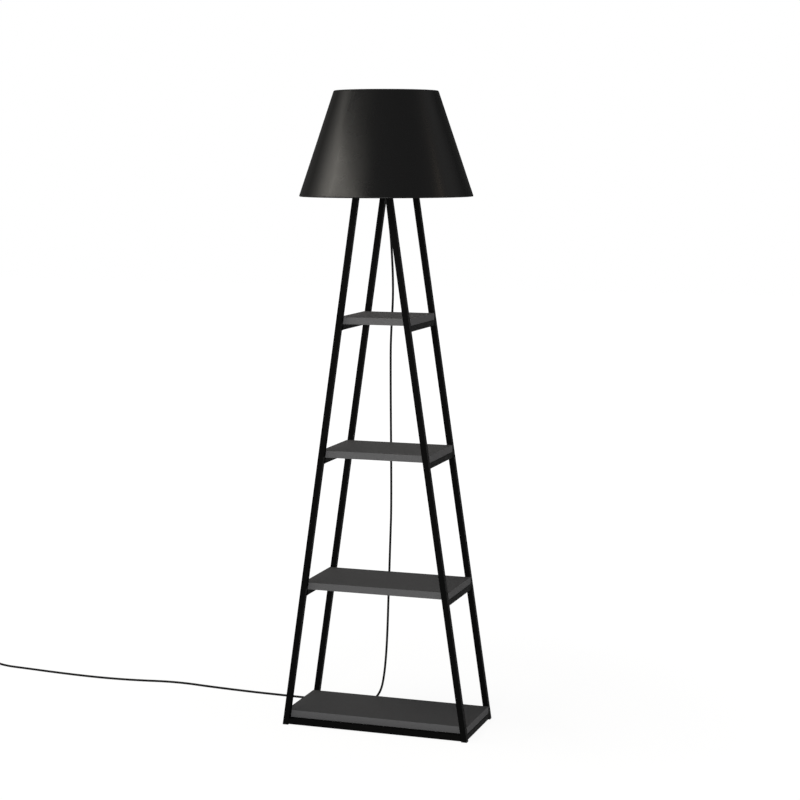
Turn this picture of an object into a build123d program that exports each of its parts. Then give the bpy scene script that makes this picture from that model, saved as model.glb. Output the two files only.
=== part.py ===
"""Shelf floor lamp: a tapering frame of square tube, four shelf boards and a cone shade.

Millimetres. +Z is up, +X right and -Y the front; the origin is on the floor under the
middle of the frame. The four legs lean inwards to the left and right only, so the lamp
has the same depth from the floor to the top of the frame.
"""

import math
import os

from build123d import *

os.makedirs("parts", exist_ok=True)

# Frame
BASE_HALF_WIDTH = 252.5  # outer face of a leg at floor level
LEAN = 0.145  # how far a leg leans inwards per millimetre of height
HALF_DEPTH = 110.0  # front face of the front legs, back face of the back legs
TUBE = 15.0  # square tube of legs and rails
WALL = 1.2
TUBE_CORNER = 1.0
GLIDE = 2.0  # thickness of the feet under the legs
FRAME_TOP = 1450.0
CAP_HEAD = 2.0  # plastic caps on the tube ends at the top
PLUG_IN = 12.0  # how far feet and caps reach into the tube
LEAN_ANGLE = math.atan(LEAN)
TUBE_ACROSS = TUBE / math.cos(LEAN_ANGLE)  # level cut through a leaning leg
INNER_HALF_DEPTH = HALF_DEPTH - TUBE

# Shelves, from the floor up
SHELF_TOPS = (35.0, 377.0, 725.0, 1072.0)
BOARD = 18.0
EDGING = 0.8
BOARD_GAP = 0.5  # between a board and the legs in front of and behind it
SCREW_Y = 60.0  # the screws' distance from the middle of the side rail
SCREW_R = 2.0
SCREW_HEAD_R = 3.8
SCREW_HEAD = 2.6
SCREW_IN_BOARD = 12.0
SCREW_DRIVE_R = 1.8
SCREW_DRIVE_DEPTH = 1.4
ACCESS_R = 4.5  # hole in the rail's underside that lets the screw head through

# Lampholder stack, on the plate across the top of the frame
PLATE = 3.0
PLATE_DEPTH = 60.0
PLATE_CORNER = 4.0
PLATE_TOP = FRAME_TOP + PLATE
NIPPLE_R = 5.0
NIPPLE_PLAY = 0.2
NIPPLE_BORE_R = 3.5
NIPPLE_LOW = 1437.0
NIPPLE_HIGH = PLATE_TOP + 10.0
LOCK_NUT = 3.5
LOCK_NUT_R = 8.1  # over its corners
GRIP_LOW = 1411.0  # the cord leaves the lamp here
GRIP_TIP_R = 4.4
GRIP_NECK_R = 6.4
GRIP_HEAD_R = 7.6
GRIP_HEAD = 15.0
HOLDER_R = 21.5
HOLDER_WALL = 2.0
HOLDER_PART = PLATE_TOP + 28.0  # parting line of the lampholder
INSULATOR_R = 17.5
INSULATOR_FOOT = 7.0
FITTER_LOW = HOLDER_PART + 6.0
FITTER = 2.0
THREAD_R = 19.8
THREAD_DEPTH = 0.8
THREAD_PITCH = 2.5
THREAD_TURNS = 10
SKIRT_HIGH = HOLDER_PART + 38.0
SKIRT_MOUTH_R = 18.4
SOCKET_R = 15.6
SOCKET_FLOOR = HOLDER_PART + 7.0
SHELL_WALL = 0.4
SHELL_PLAY = 0.3  # between the bulb's cap and the screw shell round it
CONTACT_STRIP = (18.0, 5.0, 0.6)
CONTACT_DOME_R = 2.5
CORE_R = 0.9
CORE_BEND = 2.0
CORES_CLOSE = 1.3  # each core's distance from the axis where the sheath ends
CORES_APART = 7.0  # and at the terminals
RING_NUT_R = 27.0
RING_NUT = 8.0
RING_NUT_BEVEL = 0.6
GROOVES = 24
GROOVE_R = 1.6
RUNNING_GAP = 0.1

# Bulb with a 27 mm screw cap
BULB_TIP = SOCKET_FLOOR + 2.0
TIP_CONTACT = 0.8
TIP_CONTACT_R = 4.5
COLLAR_LOW_R = 5.0
CAP_LOW = BULB_TIP + 3.0
CAP_R = 12.55  # middle of the cap's rounded thread
CAP_WALL = 0.4
CAP_WAVE = 0.55
CAP_PITCH = 3.62
CAP_TURNS = 6
BODY_LOW_R = 13.4
BODY_MIDDLE_R = 17.6
BODY_MIDDLE = 21.0  # height above the cap
GLOBE_R = 30.0
GLOBE_WALL = 1.2
GLOBE_CUT = 14.0  # how far below its centre the globe ends
BULB_LENGTH = 110.0

# Shade
SHADE_LOW = 1380.0
SHADE_HIGH = 1650.0
SHADE_LOW_R = 225.0
SHADE_HIGH_R = 135.0
FABRIC = 0.9
LINING = 0.6
RING_WIRE_R = 2.0
RING_BITE = 0.15  # how far the glued rings sink into the lining
RING_INSET = 0.2  # from the shade's edge to the ring
ARM_WIRE_R = 1.75
ARM_BEND = 12.0
ARM_LEVEL = 12.0  # level stretch outside the fitter
ARM_LAP = 1.5  # how far an arm runs in from the fitter's edge
FITTER_R = 30.0
ARMS = 3

# Cord, from the cord grip to the plug
CORD_R = 3.0
SWITCH_AT = (-1362.0, 155.0)
SWITCH_LENGTH = 80.0
SWITCH_WIDTH = 44.0
SWITCH_PART = 9.0  # parting line of the switch's shells, and height of its cord ends
SWITCH_HIGH = 21.0
SWITCH_WALL = 2.0
SWITCH_EDGE = 1.5  # rounding of the lower shell
SWITCH_DOME = 6.0  # rounding of the cover, and of its hollow
SWITCH_HOLLOW_DOME = 4.0
SWITCH_SCREWS = ((25.0, -11.0), (-25.0, 11.0))
BOSS_R = 4.2
CLOSING_SCREW_R = 1.4
CLOSING_SCREW_HEAD_R = 3.0
CLOSING_SCREW_SEAT = 2.2
CLOSING_SCREW_IN_COVER = 5.5
SWITCH_SLEEVE = 22.0
SWITCH_SLEEVE_R = 5.6
SLEEVE_NECK_R = 4.5
SLEEVE_NECK = 3.0
SLEEVE_RIBS = 4
SLEEVE_TIP_WALL = 0.9
SLEEVE_GROOVE = 0.7
BUTTON_R = 12.8
BUTTON_PLAY = 0.2
BUTTON_RISE = 4.5  # above the cover
BUTTON_EDGE = 2.0
BUTTON_FLANGE = 2.0
BUTTON_STEM_R = 4.0
BUTTON_TRAVEL = 3.0
CONTACT_BLOCK = (30.0, 18.0)
SPRING_R = 6.0
SPRING_WIRE_R = 0.4
SPRING_QUARTERS = 16
COIL_AT = (-1490.0, 117.5)
COIL_OUTER_R = 37.5
COIL_STEP = 6.7  # from turn to turn, sideways and upwards
COIL_HALF_TURNS = 7
PLUG_X = -1440.0  # end of the plug's sleeve
PLUG_SLEEVE = 24.0
PLUG_BODY = 36.0
PLUG_HALF_WIDTH = 17.65
PLUG_THICK = 13.7
PLUG_NECK_HALF = 7.5
PLUG_FLARE = 20.0  # length over which the body widens
PLUG_CORNER = 3.0
PLUG_EDGE = 2.5
PLUG_SLEEVE_R = 6.2
PLUG_SLEEVE_BITE = 0.5
PIN_R = 2.0
PIN_CORE_R = 1.5
PIN_ROOT_R = 1.7
PIN_ROOT = 10.0  # insulated length of a pin, and how far its core runs into the plug
PIN_END = 1.0
PIN_REACH = 19.0
PIN_SPACING = 18.6

# The cord's route, chosen by hand: down behind the shelves, then over the floor
HANGING = [
    (0, 0, GRIP_LOW),
    (0, 0, 1388),
    (-1, 8, 1360),
    (-3.5, 28, 1322),
    (-8.5, 56, 1277),
    (-14.5, 82, 1224),
    (-18, 99, 1166),
    (-20, 105, 1104),
    (-24.5, 104, 1030),
    (-27.5, 104, 950),
    (-25.2, 104.5, 560),
    (-29, 104.5, 460),
    (-32, 105.5, 382),
    (-35.5, 107, 302),
    (-39, 109.5, 222),
    (-43.5, 111.5, 150),
    (-50.5, 114, 88),
    (-61, 117, 42),
    (-85, 119, 12),
    (-120, 120, CORD_R),
]
ON_THE_FLOOR = [
    (-190, 121, CORD_R),
    (-268, 120.5, CORD_R),
    (-345, 123, CORD_R),
    (-425, 125, CORD_R),
    (-505, 130, CORD_R),
    (-585, 137, CORD_R),
    (-655, 146, CORD_R),
    (-720, 144, CORD_R),
    (-780, 133, CORD_R),
    (-848, 125, CORD_R),
    (-925, 122.5, CORD_R),
    (-1005, 126, CORD_R),
    (-1085, 132.5, CORD_R),
    (-1165, 141, CORD_R),
    (-1235, 147, CORD_R),
    (-1276, 155, SWITCH_PART),
    (-1300, 155, SWITCH_PART),
]


def save(name, *solids):
    """Writes one piece, or one set of like pieces, as its own STEP file."""
    shape = solids[0] if len(solids) == 1 else Compound(list(solids))
    shape.label = name
    export_step(shape, f"parts/{name}.step")


def turned(points):
    """A body of revolution about the Z axis, from an outline of (radius, height) points."""
    return revolve(Plane.XZ * make_face(Polyline(*points, close=True)), Axis.Z)


def disc(radius, low, high, bore=0.0):
    """A round of the given radius between two heights, with a bore where one is given."""
    solid = Pos(0, 0, low) * extrude(Circle(radius), high - low)
    if bore:
        solid -= Pos(0, 0, low) * extrude(Circle(bore), high - low)
    return solid


# Frame ---------------------------------------------------------------------------------


def outer_x(height):
    """Outer face of the right legs at a height."""
    return BASE_HALF_WIDTH - LEAN * height


def leaning_bar(side, end, low, high, inset=0.0):
    """A square bar along one leg, cut level at both ends and slimmer all round by the inset."""
    step = inset / math.cos(LEAN_ANGLE)
    outline = [
        (side * (outer_x(low) - step), low),
        (side * (outer_x(high) - step), high),
        (side * (outer_x(high) - TUBE_ACROSS + step), high),
        (side * (outer_x(low) - TUBE_ACROSS + step), low),
    ]
    face = Plane.XZ * make_face(Polyline(*outline, close=True))
    front = (-HALF_DEPTH if end < 0 else INNER_HALF_DEPTH) + inset
    return Pos(0, front, 0) * extrude(face, TUBE - 2 * inset, dir=(0, 1, 0))


def rounded_along(solid, axis):
    """The solid with its long edges rounded as rolled tube has them."""
    long_edges = [e for e in solid.edges() if abs(e.tangent_at(0).dot(axis.direction)) > 0.9]
    return fillet(long_edges, TUBE_CORNER)


def leg(side, end):
    """One square tube leg, from its foot to the top of the frame."""
    outside = rounded_along(leaning_bar(side, end, GLIDE, FRAME_TOP), Axis.Z)
    return outside - leaning_bar(side, end, GLIDE, FRAME_TOP, WALL)


def tube_end(side, end, low, high, head_low, head_high):
    """A foot or a cap: a head as wide as the tube and a plug that fills the tube's end."""
    head = rounded_along(leaning_bar(side, end, head_low, head_high), Axis.Z)
    return head + leaning_bar(side, end, low, high, WALL)


def side_rail(side, top, screwed=True):
    """A rail between the front and back leg, with screw holes where it carries a board."""
    centre = Pos(side * (outer_x(top) - TUBE / 2), 0, top - TUBE / 2)
    outside = rounded_along(Box(TUBE, 2 * INNER_HALF_DEPTH, TUBE), Axis.Y)
    hollow = TUBE - 2 * WALL
    rail = outside - Box(hollow, 2 * INNER_HALF_DEPTH, hollow)
    if screwed:
        for y in (-SCREW_Y, SCREW_Y):
            rail -= Pos(0, y, TUBE / 4) * Cylinder(SCREW_R, TUBE / 2)
            rail -= Pos(0, y, -TUBE / 4) * Cylinder(ACCESS_R, TUBE / 2)
    return centre * rail


def floor_rail(end):
    """A rail at the floor between the left and right leg, with its ends cut to their lean."""
    y = end * (HALF_DEPTH - TUBE / 2)
    bottom = SHELF_TOPS[0] - BOARD - TUBE
    length = 2 * BASE_HALF_WIDTH
    hollow = TUBE - 2 * WALL
    rail = rounded_along(Box(length, TUBE, TUBE), Axis.X) - Box(length, hollow, hollow)
    rail = Pos(0, y, bottom + TUBE / 2) * rail
    for side in (-1, 1):
        outline = [
            (side * (outer_x(0) - TUBE_ACROSS), 0),
            (side * (outer_x(2 * TUBE) - TUBE_ACROSS), 2 * TUBE),
            (side * 2 * BASE_HALF_WIDTH, 2 * TUBE),
            (side * 2 * BASE_HALF_WIDTH, 0),
        ]
        face = Plane.XZ * make_face(Polyline(*outline, close=True))
        rail -= Pos(0, -2 * HALF_DEPTH, 0) * extrude(face, 4 * HALF_DEPTH, dir=(0, 1, 0))
    return rail


def top_plate():
    """The flat plate across the top side rails that carries the lampholder."""
    half_width = outer_x(FRAME_TOP) - TUBE_CORNER
    plate = Box(2 * half_width, PLATE_DEPTH, PLATE)
    plate = fillet(plate.edges().filter_by(Axis.Z), PLATE_CORNER)
    plate -= Cylinder(NIPPLE_R + NIPPLE_PLAY, PLATE)
    return Pos(0, 0, FRAME_TOP + PLATE / 2) * plate


# Shelves -------------------------------------------------------------------------------


def board_half_width(top):
    """Half the width of a shelf: flush with the legs' outer faces at half its thickness."""
    return outer_x(top - BOARD / 2)


def screw_places(top):
    """Where the screws of one shelf stand."""
    x = outer_x(top - BOARD) - TUBE / 2
    return [(side * x, y) for side in (-1, 1) for y in (-SCREW_Y, SCREW_Y)]


def board_outline(top, inset):
    """The shelf's rectangle seen from above."""
    return Rectangle(
        2 * (board_half_width(top) - inset), 2 * (INNER_HALF_DEPTH - BOARD_GAP - inset)
    )


def shelf_board(top):
    """The core of one shelf inside its edging, with the screws' pilot holes."""
    low = top - BOARD
    board = Pos(0, 0, low) * extrude(board_outline(top, EDGING), BOARD)
    for x, y in screw_places(top):
        board -= Pos(x, y, low + SCREW_IN_BOARD / 2) * Cylinder(SCREW_R, SCREW_IN_BOARD)
    return board


def shelf_edging(top):
    """The strip glued round the four edges of one shelf."""
    outline = board_outline(top, 0) - board_outline(top, EDGING)
    return Pos(0, 0, top - BOARD) * extrude(outline, BOARD)


def shelf_screws(top):
    """The four screws of one shelf: their heads bear inside the rail, under its upper wall."""
    seat = top - BOARD - WALL
    shank_high = top - BOARD + SCREW_IN_BOARD
    screw = disc(SCREW_HEAD_R, seat - SCREW_HEAD, seat) + disc(SCREW_R, seat, shank_high)
    hexagon = RegularPolygon(SCREW_DRIVE_R, 6)
    drive = Pos(0, 0, seat - SCREW_HEAD) * extrude(hexagon, SCREW_DRIVE_DEPTH)
    return [Pos(x, y, 0) * (screw - drive) for x, y in screw_places(top)]


# Lampholder and bulb ---------------------------------------------------------------------


def cord_grip():
    """The tapered grip that screws on the nipple's lower end and holds the cord."""
    high = FRAME_TOP - LOCK_NUT
    outline = [
        (CORD_R, GRIP_LOW),
        (GRIP_TIP_R, GRIP_LOW),
        (GRIP_NECK_R, high - GRIP_HEAD - 2),
        (GRIP_HEAD_R, high - GRIP_HEAD),
        (GRIP_HEAD_R, high - 1),
        (GRIP_HEAD_R - 0.8, high),
        (NIPPLE_R, high),
        (NIPPLE_R, NIPPLE_LOW),
        (CORD_R, NIPPLE_LOW),
    ]
    return turned(outline)


def lock_nut():
    """The hexagon nut under the plate."""
    nut = extrude(RegularPolygon(LOCK_NUT_R, 6) - Circle(NIPPLE_R), LOCK_NUT)
    return Pos(0, 0, FRAME_TOP - LOCK_NUT) * nut


def lampholder_cap():
    """The cup that screws on the nipple and closes the lampholder from below."""
    low = PLATE_TOP
    inner = HOLDER_R - HOLDER_WALL
    neck = NIPPLE_R + 3.5
    outline = [
        (NIPPLE_R, low),
        (12, low),
        (16.5, low + 3),
        (19.8, low + 8),
        (HOLDER_R, low + 15),
        (HOLDER_R, HOLDER_PART),
        (inner, HOLDER_PART),
        (inner, low + 16),
        (17.5, low + 9),
        (14, low + 5),
        (neck, low + 3),
        (neck, NIPPLE_HIGH),
        (NIPPLE_R, NIPPLE_HIGH),
    ]
    return turned(outline)


def lampholder_insulator():
    """The stepped block that carries the contacts, held between cap and skirt."""
    lower = disc(HOLDER_R - HOLDER_WALL, HOLDER_PART - INSULATOR_FOOT, HOLDER_PART)
    return lower + disc(INSULATOR_R, HOLDER_PART, SOCKET_FLOOR)


def lampholder_skirt():
    """The upper shell: a shoulder under the shade's fitter and a thread for the ring nut."""
    outline = [(INSULATOR_R, HOLDER_PART), (HOLDER_R, HOLDER_PART), (HOLDER_R, FITTER_LOW)]
    start = FITTER_LOW + FITTER + 1
    outline += [(THREAD_R, FITTER_LOW), (THREAD_R, start)]
    for turn in range(THREAD_TURNS):
        low = start + turn * THREAD_PITCH
        outline.append((THREAD_R - THREAD_DEPTH, low + 0.4 * THREAD_PITCH))
        outline.append((THREAD_R - THREAD_DEPTH, low + 0.6 * THREAD_PITCH))
        outline.append((THREAD_R, low + 0.9 * THREAD_PITCH))
        outline.append((THREAD_R, low + THREAD_PITCH))
    outline += [(SKIRT_MOUTH_R, SKIRT_HIGH), (SOCKET_R, SKIRT_HIGH)]
    outline += [(SOCKET_R, SOCKET_FLOOR), (INSULATOR_R, SOCKET_FLOOR)]
    return turned(outline)


def thread_wave(radius, low, turns):
    """The rounded thread of a bulb cap as a chain of arcs, from the bottom up."""
    half = CAP_PITCH / 2
    arcs = []
    for i in range(2 * turns):
        start = low + i * half
        bulge = CAP_WAVE if i % 2 == 0 else -CAP_WAVE
        middle = (radius + bulge, start + half / 2)
        arcs.append(ThreePointArc((radius, start), middle, (radius, start + half)))
    return arcs


def threaded_sleeve(radius, wall, low):
    """A thin sleeve whose two faces follow the rounded thread."""
    high = low + CAP_TURNS * CAP_PITCH
    outside = thread_wave(radius, low, CAP_TURNS)
    inside = thread_wave(radius - wall, low, CAP_TURNS)
    ends = [Line((radius - wall, z), (radius, z)) for z in (low, high)]
    return revolve(Plane.XZ * make_face(outside + inside + ends), Axis.Z)


def screw_shell():
    """The brass sleeve in the socket: it clears the bulb's cap all the way up."""
    inside = CAP_R + SHELL_PLAY
    outside = inside + SHELL_WALL
    foot = disc(outside, SOCKET_FLOOR, CAP_LOW, inside)
    return threaded_sleeve(outside, SHELL_WALL, CAP_LOW) + foot


def lampholder_contact():
    """The springy strip under the bulb's tip."""
    thick = CONTACT_STRIP[2]
    strip = Pos(0, 0, SOCKET_FLOOR + thick / 2) * Box(*CONTACT_STRIP)
    return strip + disc(CONTACT_DOME_R, SOCKET_FLOOR + thick, BULB_TIP - RUNNING_GAP)


def cord_cores():
    """The cord's two cores, from the end of its sheath to the insulator's terminals."""
    low = NIPPLE_HIGH + 1
    cores = []
    for side in (-1, 1):
        points = [
            (side * CORES_CLOSE, 0, low),
            (side * CORES_CLOSE, 0, low + 4),
            (side * CORES_APART, 0, low + 7),
            (side * CORES_APART, 0, HOLDER_PART - INSULATOR_FOOT),
        ]
        path = FilletPolyline(*points, radius=CORE_BEND)
        section = Plane(points[0], z_dir=(0, 0, 1)) * Circle(CORE_R)
        cores.append(sweep(section, path=path))
    return cores


def ring_nut():
    """The grooved ring that clamps the shade's fitter on the lampholder."""
    low = FITTER_LOW + FITTER
    nut = disc(RING_NUT_R, low, low + RING_NUT, THREAD_R + RUNNING_GAP)
    rims = nut.edges().filter_by(GeomType.CIRCLE)
    outer_rims = [rim for rim in rims if rim.radius > (RING_NUT_R + THREAD_R) / 2]
    nut = chamfer(outer_rims, RING_NUT_BEVEL)
    across = RING_NUT_R + GROOVE_R / 2
    groove = Pos(across, 0, low + RING_NUT / 2) * Cylinder(GROOVE_R, RING_NUT)
    for i in range(GROOVES):
        nut -= Rot(0, 0, 360 / GROOVES * i) * groove
    return nut


def bulb_cap():
    """The bulb's screw cap, closed towards the tip by its insulator."""
    return threaded_sleeve(CAP_R, CAP_WALL, CAP_LOW)


def bulb_insulator():
    """The dark glass collar between cap and tip."""
    low = BULB_TIP + TIP_CONTACT
    return turned([(0, low), (COLLAR_LOW_R, low), (CAP_R, CAP_LOW), (0, CAP_LOW)])


def bulb_body():
    """The bulb's plastic housing, from inside its cap to the rim of the globe."""
    cap_high = CAP_LOW + CAP_TURNS * CAP_PITCH
    inside = (CAP_R - CAP_WAVE - CAP_WALL - RUNNING_GAP, cap_high)
    shoulder = (BODY_LOW_R, cap_high)
    middle = (BODY_MIDDLE_R, cap_high + BODY_MIDDLE)
    rim_high = BULB_TIP + BULB_LENGTH - GLOBE_R - GLOBE_CUT
    rim = (math.sqrt(GLOBE_R**2 - GLOBE_CUT**2), rim_high)
    lines = [
        Polyline((0, CAP_LOW), (inside[0], CAP_LOW), inside, shoulder),
        ThreePointArc(shoulder, middle, rim),
        Polyline(rim, (0, rim_high), (0, CAP_LOW)),
    ]
    return revolve(Plane.XZ * make_face(lines), Axis.Z)


def bulb_globe():
    """The opal globe, a shell of a ball above the housing."""
    centre = BULB_TIP + BULB_LENGTH - GLOBE_R
    globe = Pos(0, 0, centre) * (Sphere(GLOBE_R) - Sphere(GLOBE_R - GLOBE_WALL))
    return globe - disc(GLOBE_R, centre - GLOBE_R, centre - GLOBE_CUT)


# Shade -----------------------------------------------------------------------------------


def shade_r(height):
    """Outer radius of the cone at a height."""
    share = (height - SHADE_LOW) / (SHADE_HIGH - SHADE_LOW)
    return SHADE_LOW_R + share * (SHADE_HIGH_R - SHADE_LOW_R)


def cone_shell(outside, thickness, low, high):
    """A layer of the cone that starts this far inside its outer face."""
    outline = [
        (shade_r(low) - outside, low),
        (shade_r(high) - outside, high),
        (shade_r(high) - outside - thickness, high),
        (shade_r(low) - outside - thickness, low),
    ]
    return turned(outline)


def ring_place(height):
    """Radius of a wire ring's centre line: the wire sinks a little into the lining."""
    slant = math.hypot(SHADE_HIGH - SHADE_LOW, SHADE_LOW_R - SHADE_HIGH_R)
    across = slant / (SHADE_HIGH - SHADE_LOW)
    return shade_r(height) - FABRIC - LINING - (RING_WIRE_R - RING_BITE) * across


def wire_ring(height):
    """A round wire ring inside one end of the shade."""
    return Pos(0, 0, height) * Torus(ring_place(height), RING_WIRE_R)


def shade_fitter():
    """The flat ring that sits on the lampholder's shoulder."""
    return disc(FITTER_R, FITTER_LOW, FITTER_LOW + FITTER, THREAD_R + RUNNING_GAP)


def shade_arms(top_ring, fitter):
    """The three wires from the fitter up to the top ring, cut to fit both."""
    low = FITTER_LOW + FITTER / 2
    top_height = SHADE_HIGH - RING_WIRE_R - RING_INSET
    points = [
        (FITTER_R - ARM_LAP, 0, low),
        (FITTER_R + ARM_LEVEL, 0, low),
        (ring_place(top_height), 0, top_height),
    ]
    path = FilletPolyline(*points, radius=ARM_BEND)
    wire = sweep(Plane(points[0], z_dir=(1, 0, 0)) * Circle(ARM_WIRE_R), path=path)
    arms = []
    for i in range(ARMS):
        arm = Rot(0, 0, 90 + 360 / ARMS * i) * wire - top_ring - fitter
        arms.append(arm.solids().sort_by(SortBy.VOLUME)[-1])
    return arms


# Switch and plug -------------------------------------------------------------------------


def ribbed_sleeve(length, root_r):
    """A cord sleeve along -X from the origin: it tapers to the cord, with ribs round it."""
    tip_r = CORD_R + SLEEVE_TIP_WALL
    bands = 2 * SLEEVE_RIBS + 1
    step = length / bands
    outline = [(0, 0)]
    for i in range(bands):
        taper = [root_r + (tip_r - root_r) * (i + j) / bands for j in (0, 1)]
        depth = SLEEVE_GROOVE if i % 2 else 0.0
        outline.append((taper[0] - depth, i * step))
        outline.append((taper[1] - depth, (i + 1) * step))
    outline.append((0, length))
    return Rot(0, -90, 0) * turned(outline)


def switch_place():
    """The switch's middle on the floor."""
    return Pos(SWITCH_AT[0], SWITCH_AT[1], 0)


def switch_outline(inset=0.0):
    """The switch's long round outline seen from above."""
    return SlotOverall(SWITCH_LENGTH - 2 * inset, SWITCH_WIDTH - 2 * inset)


def cord_openings(solid):
    """The shell with a round notch at each end for the cord sleeves."""
    hole = Pos(0, 0, SWITCH_PART) * Rot(0, 90, 0) * Cylinder(SLEEVE_NECK_R, 2 * SWITCH_LENGTH)
    return solid - hole


def switch_base():
    """The switch's lower shell, with a boss round each screw."""
    shell = extrude(switch_outline(), SWITCH_PART)
    shell = fillet(shell.faces().sort_by(Axis.Z)[0].edges(), SWITCH_EDGE)
    hollow = extrude(switch_outline(SWITCH_WALL), SWITCH_PART - SWITCH_WALL)
    shell -= Pos(0, 0, SWITCH_WALL) * hollow
    for x, y in SWITCH_SCREWS:
        shell += Pos(x, y, 0) * disc(BOSS_R, SWITCH_EDGE, SWITCH_PART)
        sink = disc(CLOSING_SCREW_HEAD_R + RUNNING_GAP, 0, CLOSING_SCREW_SEAT)
        sink += disc(CLOSING_SCREW_R + RUNNING_GAP, CLOSING_SCREW_SEAT, SWITCH_PART)
        shell -= Pos(x, y, 0) * sink
    return switch_place() * cord_openings(shell)


def switch_cover():
    """The switch's domed upper shell, with the button's hole."""
    height = SWITCH_HIGH - SWITCH_PART
    shell = extrude(switch_outline(), height)
    shell = fillet(shell.faces().sort_by(Axis.Z)[-1].edges(), SWITCH_DOME)
    hollow = extrude(switch_outline(SWITCH_WALL), height - SWITCH_WALL)
    hollow = fillet(hollow.faces().sort_by(Axis.Z)[-1].edges(), SWITCH_HOLLOW_DOME)
    shell -= hollow
    for x, y in SWITCH_SCREWS:
        boss = disc(BOSS_R, 0, height - SWITCH_WALL)
        boss -= disc(CLOSING_SCREW_R, 0, CLOSING_SCREW_IN_COVER)
        shell += Pos(x, y, 0) * boss
    shell = Pos(0, 0, SWITCH_PART) * shell
    shell -= disc(BUTTON_R + BUTTON_PLAY, SWITCH_PART, SWITCH_HIGH)
    return switch_place() * cord_openings(shell)


def switch_button():
    """The round foot button: a flange keeps it in, a stem reaches the contact block."""
    flange_high = SWITCH_HIGH - SWITCH_WALL - RUNNING_GAP
    flange_low = flange_high - BUTTON_FLANGE
    crown = disc(BUTTON_R, flange_high, SWITCH_HIGH + BUTTON_RISE)
    crown = fillet(crown.edges().filter_by(GeomType.CIRCLE).sort_by(Axis.Z)[-1:], BUTTON_EDGE)
    flange = disc(BUTTON_R + BUTTON_FLANGE, flange_low, flange_high)
    stem = disc(BUTTON_STEM_R, SWITCH_PART + BUTTON_TRAVEL + 3 * RUNNING_GAP, flange_low)
    return switch_place() * (crown + flange + stem)


def switch_contact_block():
    """The block of contacts under the button."""
    block = Box(*CONTACT_BLOCK, SWITCH_PART - SWITCH_WALL)
    block = chamfer(block.edges().filter_by(Axis.Z), 1)
    return switch_place() * Pos(0, 0, (SWITCH_PART + SWITCH_WALL) / 2) * block


def switch_screws():
    """The screws that close the switch from below."""
    shank_high = SWITCH_PART + CLOSING_SCREW_IN_COVER
    screw = disc(CLOSING_SCREW_HEAD_R, 0.6, CLOSING_SCREW_SEAT)
    screw += disc(CLOSING_SCREW_R, CLOSING_SCREW_SEAT, shank_high)
    return [switch_place() * Pos(x, y, 0) * screw for x, y in SWITCH_SCREWS]


def switch_sleeves():
    """The two cord sleeves at the ends of the switch, held by their necks."""
    sleeve = ribbed_sleeve(SWITCH_SLEEVE, SWITCH_SLEEVE_R)
    sleeve += Pos(SLEEVE_NECK / 2, 0, 0) * Rot(0, 90, 0) * Cylinder(SLEEVE_NECK_R, SLEEVE_NECK)
    end = Pos(-SWITCH_LENGTH / 2, 0, SWITCH_PART) * sleeve
    return [switch_place() * Rot(0, 0, turn) * end for turn in (0, 180)]


def plug_y():
    """The plug lies in line with the coil's end."""
    return COIL_AT[1] - COIL_OUTER_R


def pin_places():
    """Where the two pins leave the plug's face."""
    face_x = PLUG_X + PLUG_SLEEVE + PLUG_BODY
    return [Pos(face_x, plug_y() + s * PIN_SPACING / 2, PLUG_THICK / 2) for s in (-1, 1)]


def plug_body():
    """The flat moulded plug, pins towards +X, with its cord sleeve in one piece."""
    face_x = PLUG_X + PLUG_SLEEVE + PLUG_BODY
    root_x = PLUG_X + PLUG_SLEEVE
    outline = [
        (root_x, -PLUG_NECK_HALF),
        (root_x + PLUG_FLARE, -PLUG_HALF_WIDTH),
        (face_x, -PLUG_HALF_WIDTH),
        (face_x, PLUG_HALF_WIDTH),
        (root_x + PLUG_FLARE, PLUG_HALF_WIDTH),
        (root_x, PLUG_NECK_HALF),
    ]
    body = extrude(make_face(Polyline(*outline, close=True)), PLUG_THICK)
    body = fillet(body.edges().filter_by(Axis.Z), PLUG_CORNER)
    body = fillet(body.faces().filter_by(Axis.Z).edges(), PLUG_EDGE)
    body = Pos(0, plug_y(), 0) * body
    sleeve = ribbed_sleeve(PLUG_SLEEVE, PLUG_SLEEVE_R)
    body += Pos(root_x + PLUG_SLEEVE_BITE, plug_y(), PLUG_THICK / 2) * sleeve
    root = Pos(PIN_ROOT / 2, 0, 0) * Rot(0, 90, 0) * Cylinder(PIN_ROOT_R, PIN_ROOT)
    hole = Rot(0, 90, 0) * Cylinder(PIN_CORE_R, 2 * PIN_ROOT)
    for place in pin_places():
        body = body + place * root - place * hole
    return body


def plug_pins():
    """The two round pins: a thin core in the plug and its root sleeve, and the bare tip."""
    core = Rot(0, 90, 0) * Cylinder(PIN_CORE_R, 2 * PIN_ROOT)
    tip = Rot(0, 90, 0) * Cylinder(PIN_R, PIN_REACH - PIN_ROOT)
    tip = Pos((PIN_ROOT + PIN_REACH) / 2, 0, 0) * tip
    tip = fillet(tip.edges().filter_by(GeomType.CIRCLE).sort_by(Axis.X)[-1:], PIN_END)
    return [place * (core + tip) for place in pin_places()]


# Cord and spring -------------------------------------------------------------------------


def bend_radii(points):
    """Each corner's radius: 0.45 of its shorter run over the tangent of half the turn."""
    corners = [Vector(p) for p in points]
    radii = []
    for before, corner, after in zip(corners, corners[1:], corners[2:]):
        arriving, leaving = corner - before, after - corner
        half_turn = math.radians(arriving.get_angle(leaving)) / 2
        shorter = min(arriving.length, leaving.length)
        radii.append(0.45 * shorter / math.tan(half_turn))
    return radii


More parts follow.
